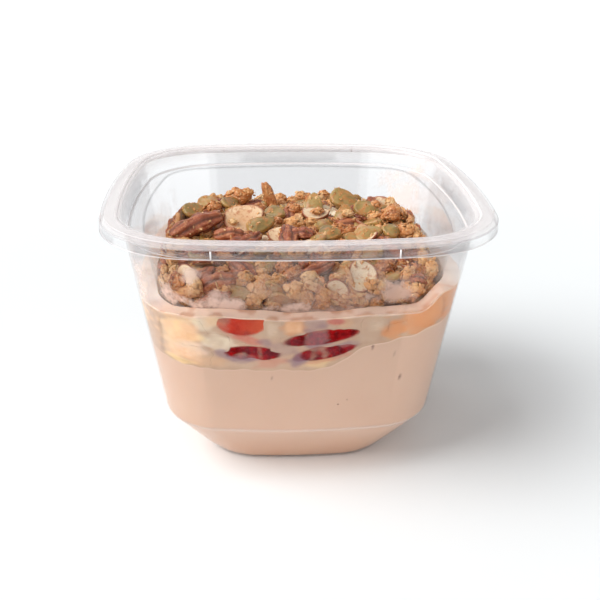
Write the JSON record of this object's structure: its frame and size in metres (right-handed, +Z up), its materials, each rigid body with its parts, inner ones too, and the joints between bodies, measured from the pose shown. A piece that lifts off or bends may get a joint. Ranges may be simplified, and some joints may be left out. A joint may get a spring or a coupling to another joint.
{
  "type": "granola yogurt cup",
  "caption": "Clear square deli tub of pale pink yogurt under cut strawberries and peaches, with a clear tray of granola nested in its mouth.",
  "frame": {"origin": "middle of the tub's flat underside", "axes": "+Z up through the open mouth, the side shown in the picture faces -Y, +X to the right of it"},
  "size_m": [0.12, 0.12, 0.0853],
  "materials": {
    "clear_plastic": "clear",
    "yogurt": "satin",
    "fruit_layer": "satin",
    "strawberry": "wet",
    "peach": "wet",
    "pear": "wet",
    "granola": "satin"
  },
  "bodies": {
    "root": {"tub": "clear_plastic", "tray": "clear_plastic", "yogurt": "yogurt", "fruit_layer": "fruit_layer", "strawberry_slice_1": "strawberry", "strawberry_slice_2": "strawberry", "strawberry_slice_3": "strawberry", "strawberry_slice_4": "strawberry", "strawberry_slice_5": "strawberry", "strawberry_slice_6": "strawberry", "strawberry_slice_7": "strawberry", "strawberry_slice_8": "strawberry", "peach_piece_1": "peach", "peach_piece_2": "peach", "peach_piece_3": "peach", "peach_piece_4": "peach", "peach_piece_5": "peach", "peach_piece_6": "peach", "peach_piece_7": "peach", "peach_piece_8": "peach", "pear_piece_1": "pear", "pear_piece_2": "pear", "pear_piece_3": "pear", "granola": "granola"}
  },
  "joints": []
}
